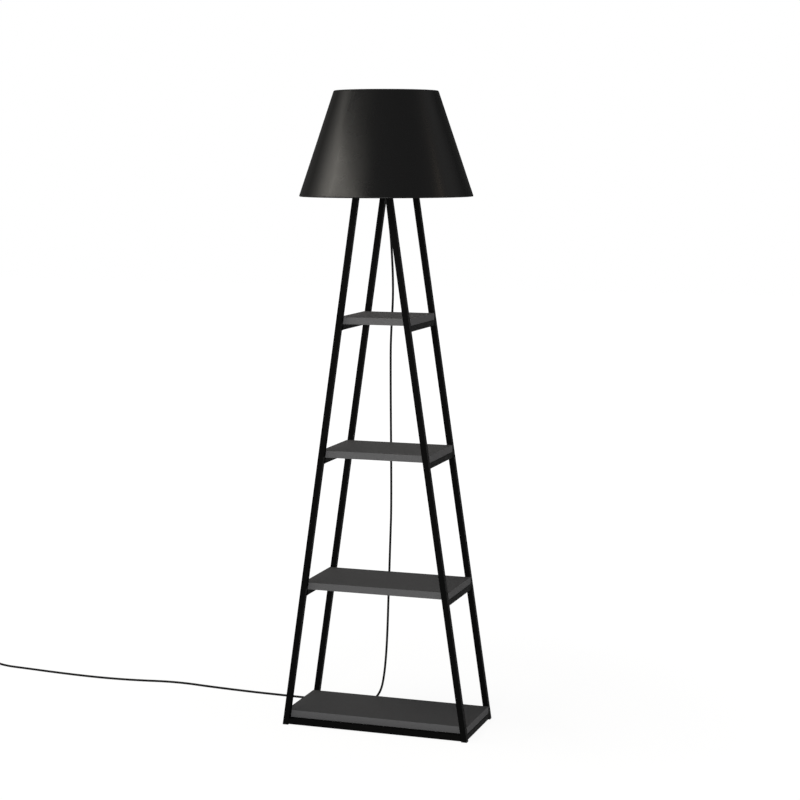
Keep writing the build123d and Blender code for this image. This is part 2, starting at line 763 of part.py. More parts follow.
def cord_tube(name, points):
    """A free stretch of cord: straight runs joined by tangent arcs."""
    radii = bend_radii(points)
    path = FilletPolyline(*points, radius=radii)
    start = Vector(points[1]) - Vector(points[0])
    tube = sweep(Plane(points[0], z_dir=start) * Circle(CORD_R), path=path)
    volume_share = tube.volume / (math.pi * CORD_R**2 * path.length)
    print(f"{name}: length {path.length:.1f}, volume over section x length {volume_share:.5f}")
    print("  radii", " ".join(f"{r:.0f}" for r in radii))
    return tube, path.length


def biarc_path(places, headings):
    """A smooth path through the places: two arcs that share a tangent between each pair."""
    edges = []
    pairs = zip(zip(places, headings), zip(places[1:], headings[1:]))
    for (start, leaving), (finish, arriving) in pairs:
        gap = finish - start
        both = leaving + arriving
        spread = 2 * (1 - leaving.dot(arriving))
        reach = (math.sqrt(gap.dot(both) ** 2 + spread * gap.dot(gap)) - gap.dot(both)) / spread
        joint = (start + finish + (leaving - arriving) * reach) * 0.5
        edges.append(Edge.make_tangent_arc(start, leaving, joint))
        edges.append(Edge.make_tangent_arc(joint, edges[-1] % 1, finish))
    return edges


def coil_stations():
    """Places and headings at each quarter turn of the coil.

    The turns spiral in on the floor, climb one layer in the half turn where the spiral
    reverses, and spiral out again on top.
    """
    quarters = 2 * COIL_HALF_TURNS
    middle = quarters / 2
    inward = COIL_STEP / 4
    places, headings = [], []
    for i in range(quarters + 1):
        angle = math.pi / 2 * (1 + i)
        radius = COIL_OUTER_R - inward * (middle - abs(i - middle))
        climb = min(max((i - middle + 1) / 2, 0), 1)
        height = CORD_R + COIL_STEP * (1 - math.cos(math.pi * climb)) / 2
        outward = 0 if i in (0, middle, quarters) else math.copysign(inward, i - middle)
        rise = COIL_STEP * math.pi / 4 if i == middle else 0
        across = Vector(math.cos(angle), math.sin(angle), 0)
        along = Vector(-math.sin(angle), math.cos(angle), 0)
        places.append(Vector(*COIL_AT, 0) + across * radius + Vector(0, 0, height))
        heading = along * (radius * math.pi / 2) + across * outward + Vector(0, 0, rise)
        headings.append(heading.normalized())
    return places, headings


def least_gap(edges, radius):
    """The least gap of a wound tube to itself, from points along its centre line."""
    points = [edge @ (j / 12) for edge in edges for j in range(12)]
    reach = 26  # points nearer than this along the line are the same stretch of tube
    nearest = min(
        (a - b).length for i, a in enumerate(points) for b in points[i + reach :]
    )
    return nearest - 2 * radius


def cord_coil():
    """The put-away length of the cord: one unbroken tube in two layers of turns."""
    places, headings = coil_stations()
    edges = biarc_path(places, headings)
    entry = places[0] - headings[0] * 2 * CORD_R
    leave = places[-1] + headings[-1] * 2 * CORD_R
    path = Wire([Edge.make_line(entry, places[0]), *edges, Edge.make_line(places[-1], leave)])
    coil = sweep(Plane(entry, z_dir=headings[0]) * Circle(CORD_R), path=path)
    volume_share = coil.volume / (math.pi * CORD_R**2 * path.length)
    print(f"coil: length {path.length:.1f}, volume over section x length {volume_share:.5f}")
    print(f"  least gap to itself {least_gap(edges, CORD_R):.2f}")
    return coil, path.length, entry, leave


def switch_spring():
    """The button's return spring, wound round its stem."""
    low = SWITCH_PART + SPRING_WIRE_R
    flange_low = SWITCH_HIGH - SWITCH_WALL - RUNNING_GAP - BUTTON_FLANGE
    rise = (flange_low - SPRING_WIRE_R - low) / SPRING_QUARTERS
    quarter_length = SPRING_R * math.pi / 2
    places, headings = [], []
    for i in range(SPRING_QUARTERS + 1):
        angle = math.pi / 2 * i
        across = Vector(math.cos(angle), math.sin(angle), 0)
        along = Vector(-math.sin(angle), math.cos(angle), 0)
        places.append(across * SPRING_R + Vector(0, 0, low + rise * i))
        headings.append((along * quarter_length + Vector(0, 0, rise)).normalized())
    path = Wire(biarc_path(places, headings))
    wire = sweep(Plane(places[0], z_dir=headings[0]) * Circle(SPRING_WIRE_R), path=path)
    return switch_place() * wire


# All pieces ------------------------------------------------------------------------------


def save_frame():
    """Legs, rails, feet, caps and the plate."""
    sides = {"left": -1, "right": 1}
    ends = {"front": -1, "back": 1}
    feet, caps = [], []
    for end_name, end in ends.items():
        for side_name, side in sides.items():
            save(f"{end_name}_{side_name}_leg", leg(side, end))
            feet.append(tube_end(side, end, GLIDE, GLIDE + PLUG_IN, 0, GLIDE))
            low = FRAME_TOP - PLUG_IN
            caps.append(tube_end(side, end, low, FRAME_TOP, FRAME_TOP, FRAME_TOP + CAP_HEAD))
        save(f"{end_name}_floor_rail", floor_rail(end))
    for side_name, side in sides.items():
        for number, top in enumerate(SHELF_TOPS, start=1):
            save(f"{side_name}_side_rail_{number}", side_rail(side, top - BOARD))
        save(f"{side_name}_top_rail", side_rail(side, FRAME_TOP, screwed=False))
    save("feet", *feet)
    save("tube_caps", *caps)
    save("top_plate", top_plate())


def save_shelves():
    """Boards, their edging and their screws."""
    for number, top in enumerate(SHELF_TOPS, start=1):
        save(f"shelf_board_{number}", shelf_board(top))
    save("shelf_edging", *[shelf_edging(top) for top in SHELF_TOPS])
    save("shelf_screws", *[screw for top in SHELF_TOPS for screw in shelf_screws(top)])


def save_light():
    """Nipple, lampholder, ring nut and bulb."""
    save("threaded_nipple", disc(NIPPLE_R, NIPPLE_LOW, NIPPLE_HIGH, NIPPLE_BORE_R))
    save("lock_nut", lock_nut())
    save("cord_grip", cord_grip())
    save("lampholder_cap", lampholder_cap())
    save("lampholder_insulator", lampholder_insulator())
    save("lampholder_contact", lampholder_contact())
    save("lampholder_screw_shell", screw_shell())
    save("lampholder_skirt", lampholder_skirt())
    save("shade_ring_nut", ring_nut())
    save("bulb_cap", bulb_cap())
    save("bulb_contact", disc(TIP_CONTACT_R, BULB_TIP, BULB_TIP + TIP_CONTACT))
    save("bulb_insulator", bulb_insulator())
    save("bulb_body", bulb_body())
    save("bulb_globe", bulb_globe())


def save_shade():
    """The cone and the wire frame that carries it."""
    top_ring = wire_ring(SHADE_HIGH - RING_WIRE_R - RING_INSET)
    fitter = shade_fitter()
    save("shade_cover", cone_shell(0, FABRIC, SHADE_LOW, SHADE_HIGH))
    save("shade_lining", cone_shell(FABRIC, LINING, SHADE_LOW, SHADE_HIGH))
    save("shade_top_ring", top_ring)
    save("shade_bottom_ring", wire_ring(SHADE_LOW + RING_WIRE_R + RING_INSET))
    save("shade_fitter", fitter)
    save("shade_arms", *shade_arms(top_ring, fitter))


def save_cord():
    """The cord, its switch and its plug."""
    coil, coil_length, coil_entry, coil_end = cord_coil()
    switch_end_x = SWITCH_AT[0] - SWITCH_LENGTH / 2 - SWITCH_SLEEVE
    switch_end = Vector(switch_end_x, SWITCH_AT[1], SWITCH_PART)
    link_points = [
        switch_end,
        switch_end + Vector(-18, 0, 0),
        coil_entry + Vector(18, 0, 0),
        coil_entry,
    ]
    plug_end = Vector(PLUG_X, plug_y(), PLUG_THICK / 2)
    tail_points = [coil_end, coil_end + Vector(14, 0, 0), plug_end - Vector(14, 0, 0), plug_end]
    run, run_length = cord_tube("cord_run", HANGING + ON_THE_FLOOR)
    link, link_length = cord_tube("cord_link", link_points)
    tail, tail_length = cord_tube("cord_tail", tail_points)
    in_switch = SWITCH_LENGTH + 2 * SWITCH_SLEEVE
    total = run_length + in_switch + link_length + coil_length + tail_length
    print(f"cord from grip to plug: {total:.0f} mm")
    save("cord_run", run)
    save("cord_link", link)
    save("cord_coil", coil)
    save("cord_tail", tail)
    save("cord_in_grip", disc(CORD_R, GRIP_LOW, NIPPLE_HIGH + 1))
    save("cord_cores", *cord_cores())
    save("switch_base", switch_base())
    save("switch_cover", switch_cover())
    save("switch_button", switch_button())
    save("switch_spring", switch_spring())
    save("switch_contact_block", switch_contact_block())
    save("switch_screws", *switch_screws())
    save("switch_sleeves", *switch_sleeves())
    save("plug_body", plug_body())
    save("plug_pins", *plug_pins())


save_frame()
save_shelves()
save_light()
save_shade()
save_cord()
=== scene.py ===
"""Looks of a shelf floor lamp: finishes, cloth shade, edge bands, cord, studio and camera.

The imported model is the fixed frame. Everything is in metres in the model's own axes:
+Z up, +X right, -Y the front, the origin on the floor under the middle of the frame.
"""

from __future__ import annotations

import logging
import math
from dataclasses import dataclass
from enum import Enum

import bpy
import numpy as np
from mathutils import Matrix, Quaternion, Vector


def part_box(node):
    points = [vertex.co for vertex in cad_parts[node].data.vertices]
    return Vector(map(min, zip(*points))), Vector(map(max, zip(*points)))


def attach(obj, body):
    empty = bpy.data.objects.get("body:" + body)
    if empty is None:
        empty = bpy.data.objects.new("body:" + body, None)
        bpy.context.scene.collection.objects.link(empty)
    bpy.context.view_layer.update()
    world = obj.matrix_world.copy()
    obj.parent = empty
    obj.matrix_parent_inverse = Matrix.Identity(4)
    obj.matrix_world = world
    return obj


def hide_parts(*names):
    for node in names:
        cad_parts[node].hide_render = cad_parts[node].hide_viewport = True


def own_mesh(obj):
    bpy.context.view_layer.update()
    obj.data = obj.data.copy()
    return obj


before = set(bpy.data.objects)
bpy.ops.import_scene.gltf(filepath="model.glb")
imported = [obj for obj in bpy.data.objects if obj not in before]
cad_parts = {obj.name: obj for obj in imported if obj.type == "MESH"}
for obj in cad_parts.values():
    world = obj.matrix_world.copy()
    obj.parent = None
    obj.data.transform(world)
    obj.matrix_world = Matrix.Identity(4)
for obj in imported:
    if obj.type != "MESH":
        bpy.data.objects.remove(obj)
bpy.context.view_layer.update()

LOG = logging.getLogger("floor_lamp")
MM = 0.001
FULL_TURN = 2 * math.pi
NOISE_SPREAD = (0.3, 0.7)  # nearly all values of a noise texture lie between these
MOTTLE_DETAIL = 3.0
GRAIN_DETAIL = 2.0

Point = tuple[float, float, float]
Colour = tuple[float, float, float, float]


# Meshes ----------------------------------------------------------------------------------


class Ends(Enum):
    """What happens at the first and last row of a grid."""

    OPEN = "open"
    JOINED = "joined"
    CAPPED = "capped"


@dataclass
class Grid:
    """A surface as rows and columns of points.

    Attributes:
        points: rows x columns x 3, in metres.
        round: whether the last column joins the first.
        ends: what the first and last rows do.
        uv: rows x (columns, and one more if round) x 2, or None.
    """

    points: np.ndarray
    round: bool = True
    ends: Ends = Ends.OPEN
    uv: np.ndarray | None = None

    def quads(self) -> tuple[np.ndarray, np.ndarray]:
        """The grid's squares.

        Returns:
            Corner numbers of each square, and the row and column of its first corner.
        """
        rows, columns = self.points.shape[:2]
        down = rows if self.ends is Ends.JOINED else rows - 1
        across = columns if self.round else columns - 1
        i, j = (part.ravel() for part in np.indices((down, across)))
        below, beside = (i + 1) % rows, (j + 1) % columns
        corners = [i * columns + j, i * columns + beside]
        corners += [below * columns + beside, below * columns + j]
        return np.stack(corners, axis=1), np.stack([i, j], axis=1)

    def caps(self) -> list[list[int]]:
        """The two flat ends of a capped grid, each one face."""
        if self.ends is not Ends.CAPPED:
            return []
        rows, columns = self.points.shape[:2]
        first = list(range(columns))[::-1]
        last = [(rows - 1) * columns + j for j in range(columns)]
        return [first, last]


def piece(name: str, grids: list[Grid], smooth: bool = True) -> bpy.types.Object:
    """One object from one or more grids.

    Args:
        name: the piece's name.
        grids: the surfaces; their columns run so that faces point outwards.
        smooth: whether faces are shaded smooth.

    Returns:
        The new object, linked to the scene and placed at the origin.
    """
    mesh = bpy.data.meshes.new(name)
    points, faces, coordinates, start = [], [], [], 0
    for grid in grids:
        quads, cells = grid.quads()
        faces += (quads + start).tolist()
        faces += [[start + number for number in cap] for cap in grid.caps()]
        points.append(grid.points.reshape(-1, 3))
        start += len(points[-1])
        if grid.uv is not None:
            steps = np.array([[0, 0], [0, 1], [1, 1], [1, 0]])
            places = cells[:, None, :] + steps
            coordinates.append(grid.uv[places[..., 0], places[..., 1]].reshape(-1, 2))
    mesh.from_pydata(np.concatenate(points).tolist(), [], faces)
    if coordinates:
        layer = mesh.uv_layers.new(name="cloth")
        layer.data.foreach_set("uv", np.concatenate(coordinates).astype(np.float32).ravel())
    mesh.polygons.foreach_set("use_smooth", np.full(len(faces), smooth))
    mesh.update()
    made = bpy.data.objects.new(name, mesh)
    bpy.context.scene.collection.objects.link(made)
    return made


def tube(path: np.ndarray, radius: np.ndarray, up: Point, sides: int) -> Grid:
    """A round tube: each ring lies in the plane square to the path at its point.

    Args:
        path: points along the centre line.
        radius: the tube's radius at each point.
        up: a direction that the path never runs along.
        sides: points in each ring.

    Returns:
        A capped grid whose rows are the rings.
    """
    tangent = np.gradient(path, axis=0)
    tangent /= np.linalg.norm(tangent, axis=1, keepdims=True)
    across = np.cross(tangent, np.array(up))
    across /= np.linalg.norm(across, axis=1, keepdims=True)
    rise = np.cross(across, tangent)
    angle = np.linspace(0, FULL_TURN, sides, endpoint=False)
    cosine, sine = np.cos(angle)[None, :, None], np.sin(angle)[None, :, None]
    ring = cosine * across[:, None] + sine * rise[:, None]
    return Grid(path[:, None] + radius[:, None, None] * ring, ends=Ends.CAPPED)


def smoothed(share: np.ndarray) -> np.ndarray:
    """Eases from 0 to 1 with level ends: three times the square less twice the cube."""
    held = np.clip(share, 0, 1)
    return held * held * (3 - 2 * held)


# Finishes --------------------------------------------------------------------------------


def linear(hex_colour: str) -> Colour:
    """An sRGB hex value such as 3f3f40 as linear red, green, blue and alpha.

    The limit, the slope and the power are those of the sRGB standard.
    """
    parts = [int(hex_colour[i : i + 2], 16) / 255 for i in (0, 2, 4)]
    low = [part / 12.92 for part in parts]
    high = [((part + 0.055) / 1.055) ** 2.4 for part in parts]
    chosen = [a if part <= 0.04045 else b for part, a, b in zip(parts, low, high)]
    return (*chosen, 1.0)


def add(
    tree: bpy.types.NodeTree, kind: str, inputs: dict | None = None, **settings
) -> bpy.types.Node:
    """Adds a node.

    Args:
        tree: where it goes.
        kind: the node's class name.
        inputs: socket name or number to a value, or to the socket that feeds it.
        settings: the node's own properties.

    Returns:
        The node.
    """
    node = tree.nodes.new(kind)
    for name, value in settings.items():
        setattr(node, name, value)
    for socket, value in (inputs or {}).items():
        if isinstance(value, bpy.types.NodeSocket):
            tree.links.new(value, node.inputs[socket])
        else:
            node.inputs[socket].default_value = value
    return node


@dataclass(frozen=True)
class Finish:
    """A finish: what its shader says everywhere, and a faint pattern over it.

    Attributes:
        name: the material's name.
        colour: the main sRGB colour.
        shade: the second sRGB colour of its mottling.
        mottle_mm: size of the mottling.
        roughness: the least and the most roughness.
        grain_mm: size of the surface's grain.
        grain_depth_mm: how deep the grain is.
        metallic: 0 or 1.
        specular: how strong a non-metal's reflection is; 0.5 is its IOR's own.
        ior: index of refraction.
        coat: share of a clear layer on top.
        see_through: share of light that passes inside, for opal plastic.
    """

    name: str
    colour: str
    shade: str
    mottle_mm: float = 12.0
    roughness: tuple[float, float] = (0.4, 0.5)
    grain_mm: float = 1.2
    grain_depth_mm: float = 0.02
    metallic: float = 0.0
    specular: float = 0.5
    ior: float = 1.5
    coat: float = 0.0
    see_through: float = 0.0

    def material(self) -> bpy.types.Material:
        """The material, made the first time it is asked for."""
        found = bpy.data.materials.get(self.name)
        if found:
            return found
        made = bpy.data.materials.new(self.name)
        made.use_nodes = True
        tree = made.node_tree
        tree.nodes.clear()
        shader = add(
            tree,
            "ShaderNodeBsdfPrincipled",
            {
                "Metallic": self.metallic,
                "IOR": self.ior,
                "Specular IOR Level": self.specular,
                "Coat Weight": self.coat,
                "Subsurface Weight": self.see_through,
            },
        )
        add(tree, "ShaderNodeOutputMaterial", {"Surface": shader.outputs["BSDF"]})
        self.pattern(tree, shader)
        return made

    def pattern(self, tree: bpy.types.NodeTree, shader: bpy.types.Node) -> None:
        """Soft mottling in colour, uneven roughness and a fine grain in the surface.

        The pattern is read in the object's own metres.
        """
        place = add(tree, "ShaderNodeTexCoord").outputs["Object"]
        mottle = add(
            tree,
            "ShaderNodeTexNoise",
            {"Vector": place, "Scale": 1 / (self.mottle_mm * MM), "Detail": MOTTLE_DETAIL},
        ).outputs["Fac"]
        grain = add(
            tree,
            "ShaderNodeTexNoise",
            {"Vector": place, "Scale": 1 / (self.grain_mm * MM), "Detail": GRAIN_DETAIL},
        ).outputs["Fac"]
        self.lay(tree, shader, mottle, grain, self.uneven(tree, mottle))

    def uneven(
        self, tree: bpy.types.NodeTree, noise: bpy.types.NodeSocket
    ) -> bpy.types.NodeSocket:
        """Roughness that follows a noise from the least to the most."""
        return add(
            tree,
            "ShaderNodeMapRange",
            {
                "Value": noise,
                "From Min": NOISE_SPREAD[0],
                "From Max": NOISE_SPREAD[1],
                "To Min": self.roughness[0],
                "To Max": self.roughness[1],
            },
        ).outputs["Result"]

    def lay(
        self,
        tree: bpy.types.NodeTree,
        shader: bpy.types.Node,
        share: bpy.types.NodeSocket,
        height: bpy.types.NodeSocket,
        roughness: bpy.types.NodeSocket,
    ) -> None:
        """Gives the shader its colour, its roughness and its grain.

        Args:
            tree: the material's nodes.
            shader: the shader.
            share: how much of the second colour there is.
            height: the grain's height, as a share of its depth.
            roughness: the roughness.
        """
        colour = add(
            tree,
            "ShaderNodeMix",
            {0: share, 6: linear(self.colour), 7: linear(self.shade)},
            data_type="RGBA",
        )
        bump = add(
            tree,
            "ShaderNodeBump",
            {"Height": height, "Distance": self.grain_depth_mm * MM},
        )
        tree.links.new(colour.outputs[2], shader.inputs["Base Color"])
        tree.links.new(roughness, shader.inputs["Roughness"])
        tree.links.new(bump.outputs["Normal"], shader.inputs["Normal"])


@dataclass(frozen=True)
class SatinCloth(Finish):
    """Polyester satin laminated on film: long floats of yarn give a broad, soft shine.

    Attributes:
        thread_mm: spacing of the yarns. Real satin has 0.15 mm, too fine to show, so it
            is drawn coarser.
        slub_mm: length of the thicker stretches of yarn.
        weft_share: how much of the pattern the yarns across make.
        grazing_roughness: roughness seen along the cloth, where only the yarns' crowns
            catch the light.
        turns_dull: how far the cloth is turned away where that starts and where it ends,
            from 0, facing, to 1, seen edge on.
    """

    thread_mm: float = 0.9
    slub_mm: float = 90.0
    weft_share: float = 0.35
    grazing_roughness: float = 1.0
    turns_dull: tuple[float, float] = (0.28, 0.61)

    def pattern(self, tree: bpy.types.NodeTree, shader: bpy.types.Node) -> None:
        """Yarns up the cone and slubs along them, read from the cloth's own UV in metres."""
        cloth = add(tree, "ShaderNodeTexCoord").outputs["UV"]
        across, along = 1 / (self.thread_mm * MM), 1 / (self.slub_mm * MM)
        warp = add(tree, "ShaderNodeMapping", {"Vector": cloth, "Scale": (across, along, 1.0)})
        weft = add(tree, "ShaderNodeMapping", {"Vector": cloth, "Scale": (along, across, 1.0)})
        yarns = [
            add(
                tree,
                "ShaderNodeTexNoise",
                {"Vector": way.outputs["Vector"], "Scale": 1.0, "Detail": GRAIN_DETAIL},
            )
            for way in (warp, weft)
        ]
        both = add(
            tree,
            "ShaderNodeMix",
            {0: self.weft_share, 2: yarns[0].outputs["Fac"], 3: yarns[1].outputs["Fac"]},
            data_type="FLOAT",
        ).outputs[0]
        cloud = add(
            tree, "ShaderNodeTexNoise", {"Vector": cloth, "Scale": 1 / (self.mottle_mm * MM)}
        )
        crowns = add(
            tree,
            "ShaderNodeMapRange",
            {
                "Value": add(tree, "ShaderNodeLayerWeight").outputs["Facing"],
                "From Min": self.turns_dull[0],
                "From Max": self.turns_dull[1],
                "To Min": self.uneven(tree, cloud.outputs["Fac"]),
                "To Max": self.grazing_roughness,
            },
        )
        self.lay(tree, shader, both, both, crowns.outputs["Result"])


# Polyester powder baked on steel: near black, matt, with a faint orange peel.
POWDER_COAT = Finish(
    "powder_coat", "020202", "080808", 9.0, (0.5, 0.68), 2.2, 0.12, specular=0.02
)
# Melamine resin on chipboard, pressed against a pearl plate: even, with tiny dull pits.
MELAMINE = Finish("melamine_board", "373738", "434344", 4.0, (0.65, 0.85), 1.6, 0.09, specular=0.03)
# Extruded ABS band, glued on and scraped: a little smoother than the board's face. Its grey is
# painted lighter than the board's: painted light that stands in for the stronger light on the front
# edges.
EDGE_BAND_PAINTED_LIGHTER = Finish("abs_edge_band_painted_lighter", "49494a", "525253", 5.0, (0.55, 0.7), 2.5, 0.05, specular=0.05)
# Woven polyester satin, black: a broad soft shine that dies out where the cloth turns away.
SATIN = SatinCloth("satin_cloth", "020202", "0a0a0a", 60.0, (0.26, 0.29), 1.0, 0.07, specular=0.092)
# Styrene film: white, with the soft gloss of a rolled sheet.
STYRENE = Finish("styrene_film", "e4e2dc", "dddad2", 50.0, (0.3, 0.4), 6.0, 0.02)
# Dip-coated wire: thick white paint that rounds every edge.
COATED_WIRE = Finish("white_coated_wire", "dcdcd8", "d2d2cd", 6.0, (0.3, 0.42), 1.5, 0.02)
# Compression-moulded phenolic: hard, black and fairly glossy.
PHENOLIC = Finish("moulded_phenolic", "0e0e0f", "141415", 7.0, (0.22, 0.34), 1.8, 0.01)
# Injection-moulded ABS with a spark-eroded grain.
MOULDED_ABS = Finish("grained_abs", "0e0e0f", "161617", 10.0, (0.42, 0.55), 0.8, 0.06)
# ABS from a polished mould: clear, hard reflections set the button off from the switch.
POLISHED_ABS = Finish("polished_abs", "18181a", "1c1c1e", 12.0, (0.14, 0.2), 4.0, 0.004, coat=0.3)
# Low-density polyethylene feet and caps: waxy and dull.
POLYETHYLENE = Finish("polyethylene", "0b0b0b", "0f0f0f", 8.0, (0.5, 0.62), 1.0, 0.02, specular=0.1)
# Zinc plating with a clear passivation: bright grey with a milky, patchy sheen.
ZINC = Finish("zinc_plate", "b9bcc0", "9a9ca3", 3.0, (0.24, 0.42), 0.6, 0.01, metallic=1.0)
# Nickel plated on brass: a warm, nearly clean mirror.
NICKEL = Finish("nickel_plate", "c9c3b8", "beb7aa", 5.0, (0.12, 0.26), 0.8, 0.006, metallic=1.0)
# Rolled brass, stamped and left bare: yellow and half bright.
BRASS = Finish("stamped_brass", "d8b56b", "c39c52", 4.0, (0.2, 0.36), 0.7, 0.01, metallic=1.0)
# Pressed steatite, unglazed: chalky and off-white.
STEATITE = Finish("steatite", "d9d3c6", "cdc6b7", 5.0, (0.6, 0.75), 0.8, 0.03)
# Black glass, pressed hot into the bulb's cap: smooth, with sharp points of light.
VITRITE = Finish("black_glass_collar", "0b0b0d", "101014", 4.0, (0.06, 0.14), 3.0, 0.01)
# Polycarbonate housing of the bulb: white, faintly grained.
BULB_HOUSING = Finish("white_polycarbonate", "e9e8e4", "e2e1dc", 10.0, (0.32, 0.42), 0.9, 0.02)
# Blown opal plastic: light passes into it, so the globe has no hard shadows.
OPAL = Finish("opal_globe", "f1f0ea", "ebeae2", 25.0, (0.2, 0.28), 8.0, 0.005, see_through=0.4)
# Soft PVC sheath, extruded: dull black with faint rings from the die.
SOFT_PVC = Finish("soft_pvc", "060606", "0c0c0c", 15.0, (0.45, 0.6), 2.0, 0.08, specular=0.08)
# PVC extruded round the cores: plain brown with a slight gloss.
BROWN_CORE = Finish("core_insulation", "4a2415", "54301f", 5.0, (0.35, 0.45), 1.0, 0.01)


def dress(finish: Finish, *nodes: str) -> None:
    """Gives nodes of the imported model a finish, through their objects' material slots."""
    for node in nodes:
        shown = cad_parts[node]
        if not shown.material_slots:
            shown.data.materials.append(finish.material())
        for slot in shown.material_slots:
            slot.material = finish.material()
        LOG.info("dressed %s in %s", node, finish.name)


def settle(made: bpy.types.Object, finish: Finish, body: str, slot: str, *nodes: str) -> None:
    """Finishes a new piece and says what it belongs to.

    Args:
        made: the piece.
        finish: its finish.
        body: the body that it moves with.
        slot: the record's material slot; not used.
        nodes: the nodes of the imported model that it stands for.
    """
    made.data.materials.append(finish.material())
    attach(made, body)
    if nodes:
        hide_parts(*nodes)
    LOG.info("made %s on %s", made.name, body)


# The lamp --------------------------------------------------------------------------------


@dataclass
class TubeFrame:
    """The tapering frame of square tube, its feet, caps and plate.

    Attributes:
        tube: width of the square tube.
        bead_r: radius of a weld bead.
        bead_rings: rings along a bead.
        bead_sides: points round a bead.
        bluntness: power that draws a bead's ends in; 2 would be an oval.
        tip: the least that is left of the radius at an end, squared.
        ripples: ripples along a bead.
        ripple_depth: how deep they are, as a share of the radius.
    """

    tube: float = 15 * MM
    bead_r: float = 1.3 * MM
    bead_rings: int = 40
    bead_sides: int = 10
    bluntness: int = 6
    tip: float = 0.01
    ripples: float = 9.0
    ripple_depth: float = 0.14

    def names(self) -> list[str]:
        """Every node of powder-coated tube."""
        sides, ends = ("left", "right"), ("front", "back")
        found = [f"{end}_{side}_leg" for end in ends for side in sides]
        found += [f"{end}_floor_rail" for end in ends]
        found += [f"{side}_side_rail_{number}" for side in sides for number in range(1, 5)]
        return found + [f"{side}_top_rail" for side in sides] + ["top_plate"]

    def bead(self, start: Vector, finish: Vector) -> Grid:
        """One weld bead: a thin rod with ripples, drawn in at its ends like half an oval."""
        share = np.linspace(0, 1, self.bead_rings)
        path = np.array(start) + share[:, None] * (np.array(finish) - np.array(start))
        end_in = np.sqrt(np.clip(1 - (2 * share - 1) ** self.bluntness, self.tip, 1))
        ripple = 1 - self.ripple_depth * np.abs(np.sin(math.pi * self.ripples * share))
        up = (0.0, 1.0, 0.0) if abs(finish[1] - start[1]) < self.tube / 2 else (0.0, 0.0, 1.0)
        return tube(path, self.bead_r * end_in * ripple, up, self.bead_sides)

    def beads(self) -> None:
        """Beads under and inside every end of the side rails, where they meet the legs."""
        grids = []
        rails = [name for name in self.names() if "side_rail" in name or "top_rail" in name]
        for name in rails:
            low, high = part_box(name)
            inside = high.x if high.x < 0 else low.x
            for y in (low.y, high.y):
                grids.append(self.bead(Vector((low.x, y, low.z)), Vector((high.x, y, low.z))))
                grids.append(self.bead(Vector((inside, y, low.z)), Vector((inside, y, high.z))))
        made = piece("weld_beads", grids)
        settle(made, POWDER_COAT, "frame", "powder_coated_tube")

    def build(self) -> None:
        """Dresses the tubes and adds the welds."""
        dress(POWDER_COAT, *self.names())
        dress(POLYETHYLENE, "feet", "tube_caps")
        self.beads()


@dataclass
class Shelves:
    """Four melamine boards with edge bands, screwed on from below.

    Attributes:
        count: number of boards.
        band: thickness of the edge band.
        rounding: radius of the band's two outer edges.
        steps: points in each quarter round.
    """

    count: int = 4
    band: float = 0.8 * MM
    rounding: float = 0.6 * MM
    steps: int = 6

    def band_grid(self, number: int) -> Grid:
        """The band round one board.

        Its section is a rectangle with two quarter rounds on the outer side. At each
        corner of the board the section turns about the core's corner by a right angle.
        """
        low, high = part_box(f"shelf_board_{number}")
        quarter = np.linspace(0, math.pi / 2, self.steps)
        centre = self.band - self.rounding
        rising = centre + self.rounding * np.sin(quarter)
        falling = centre + self.rounding * np.cos(quarter)
        out = np.concatenate([[0.0], rising, falling, [0.0]])
        foot = low.z + self.rounding * (1 - np.cos(quarter))
        head = high.z - self.rounding * (1 - np.sin(quarter))
        height = np.concatenate([[low.z], foot, head, [high.z]])
        signs = np.array([[1, 1], [-1, 1], [-1, -1], [1, -1]])
        half = np.array([high.x, high.y])
        angles = (np.arange(4)[:, None] * math.pi / 2 + quarter[None, :]).ravel()
        corners = np.repeat(signs * half, self.steps, axis=0)
        facing = np.stack([np.cos(angles), np.sin(angles)], axis=1)
        level = corners[:, None, :] + out[None, :, None] * facing[:, None, :]
        tall = np.broadcast_to(height[None, :, None], (len(angles), len(height), 1))
        return Grid(np.concatenate([level, tall], axis=2), ends=Ends.JOINED)

    def build(self) -> None:
        """Dresses the boards and screws and lays the bands round the boards."""
        dress(MELAMINE, *[f"shelf_board_{number}" for number in range(1, self.count + 1)])
        dress(ZINC, "shelf_screws")
        bands = [self.band_grid(number) for number in range(1, self.count + 1)]
        made = piece("edge_bands", bands, smooth=False)
        # The bands' lighter grey is painted light on the front edges; the real band has the board's
        # grey.
        settle(made, EDGE_BAND_PAINTED_LIGHTER, "frame", "shelf_edging", "shelf_edging")


